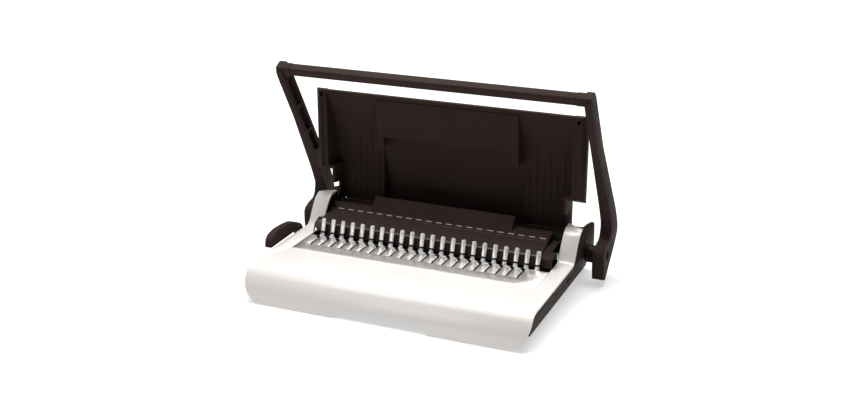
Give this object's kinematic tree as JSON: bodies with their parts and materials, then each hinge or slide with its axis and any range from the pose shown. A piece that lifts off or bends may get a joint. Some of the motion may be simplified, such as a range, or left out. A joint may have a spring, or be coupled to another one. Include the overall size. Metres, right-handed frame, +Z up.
{
  "type": "comb binding machine",
  "caption": "Desktop punch and bind machine for plastic comb spines, with a bail handle, a hinged lid open behind an upright paper slot, and a comb-opening side lever.",
  "frame": {"origin": "on the table, below the centre of the machine's footprint box", "axes": "+X to the right and +Y away from a user who faces the front, +Z up"},
  "size_m": [0.432, 0.2806, 0.2715],
  "materials": {
    "dark_plastic": "satin brown-black moulded plastic with a fine grain",
    "silver_plastic": "smooth pearl silver-white paint",
    "brushed_steel": "brushed stainless sheet",
    "bright_steel": "bright polished steel",
    "tool_steel": "ground tool steel",
    "grey_plastic": "grey moulded plastic",
    "tray_plastic": "dark moulded plastic",
    "black_plastic": "black moulded plastic",
    "rubber": "soft black rubber",
    "white_print": "white printed marks"
  },
  "bodies": {
    "base": {"top_cover": "silver_plastic", "base_shell": "dark_plastic", "right_side_panel": "dark_plastic", "left_side_panel": "dark_plastic", "right_shaft_bush": "grey_plastic", "left_shaft_bush": "grey_plastic", "front_left_foot": "rubber", "front_right_foot": "rubber", "rear_left_foot": "rubber", "rear_right_foot": "rubber", "comb_plate": "brushed_steel", "finger_comb": "bright_steel", "punch_block": "dark_plastic", "right_end_block": "dark_plastic", "left_end_block": "dark_plastic", "die_plate": "tool_steel", "pin_guide": "tool_steel", "slot_floor": "tool_steel", "rear_cover": "dark_plastic", "right_lid_pin": "bright_steel", "left_lid_pin": "bright_steel"},
    "handle": {"handle_bar": "dark_plastic", "left_arm": "dark_plastic", "right_arm": "dark_plastic", "handle_shaft": "black_plastic", "left_drive_gear": "tool_steel", "right_drive_gear": "tool_steel"},
    "punch": {"punch_bar": "tool_steel", "punch_pin_01": "bright_steel", "punch_pin_02": "bright_steel", "punch_pin_03": "bright_steel", "punch_pin_04": "bright_steel", "punch_pin_05": "bright_steel", "punch_pin_06": "bright_steel", "punch_pin_07": "bright_steel", "punch_pin_08": "bright_steel", "punch_pin_09": "bright_steel", "punch_pin_10": "bright_steel", "punch_pin_11": "bright_steel", "punch_pin_12": "bright_steel", "punch_pin_13": "bright_steel", "punch_pin_14": "bright_steel", "punch_pin_15": "bright_steel", "punch_pin_16": "bright_steel", "punch_pin_17": "bright_steel", "punch_pin_18": "bright_steel", "punch_pin_19": "bright_steel", "punch_pin_20": "bright_steel", "punch_pin_21": "bright_steel"},
    "lid": {"lid_shell": "dark_plastic", "lid_bridge": "dark_plastic"},
    "lever": {"comb_lever": "dark_plastic", "lever_shaft": "tool_steel", "left_opener_gear": "grey_plastic", "right_opener_gear": "grey_plastic"},
    "opener": {"comb_opener": "tool_steel"},
    "dial": {"edge_dial": "grey_plastic"},
    "stop": {"edge_stop": "grey_plastic"},
    "tray": {"chip_tray": "tray_plastic"}
  },
  "joints": [
    {"name": "handle_pivot", "type": "hinge", "parent": "base", "child": "handle", "pos_m": [0, 0.09373, 0.038], "axis": [1, 0, 0], "range_deg": [-25, 70]},
    {"name": "punch_slide", "type": "slide", "parent": "base", "child": "punch", "axis": [0, -1, 0], "range_m": [-0.0036, 0.0099]},
    {"name": "lid_hinge", "type": "hinge", "parent": "base", "child": "lid", "pos_m": [0, 0.08873, 0.064], "axis": [1, 0, 0], "range_deg": [0, 90]},
    {"name": "lever_pivot", "type": "hinge", "parent": "base", "child": "lever", "pos_m": [0, 0.02773, 0.026], "axis": [-1, 0, 0], "range_deg": [0, 90]},
    {"name": "opener_slide", "type": "slide", "parent": "base", "child": "opener", "axis": [0, -1, 0], "range_m": [0, 0.0206]},
    {"name": "dial_turn", "type": "hinge", "parent": "base", "child": "dial", "pos_m": [-0.1592, 0.01773, 0.0516], "axis": [0, -1, 0], "range_deg": [0, 65]},
    {"name": "stop_slide", "type": "slide", "parent": "base", "child": "stop", "axis": [1, 0, 0], "range_m": [0, 0.0052]},
    {"name": "tray_slide", "type": "slide", "parent": "base", "child": "tray", "axis": [0, 1, 0], "range_m": [0, 0.07]}
  ],
  "couplings": [
    {"joint": "punch_slide", "follows": "handle_pivot", "m_per_rad": 0.008},
    {"joint": "opener_slide", "follows": "lever_pivot", "m_per_rad": 0.013},
    {"joint": "stop_slide", "follows": "dial_turn", "m_per_rad": 0.0045}
  ]
}
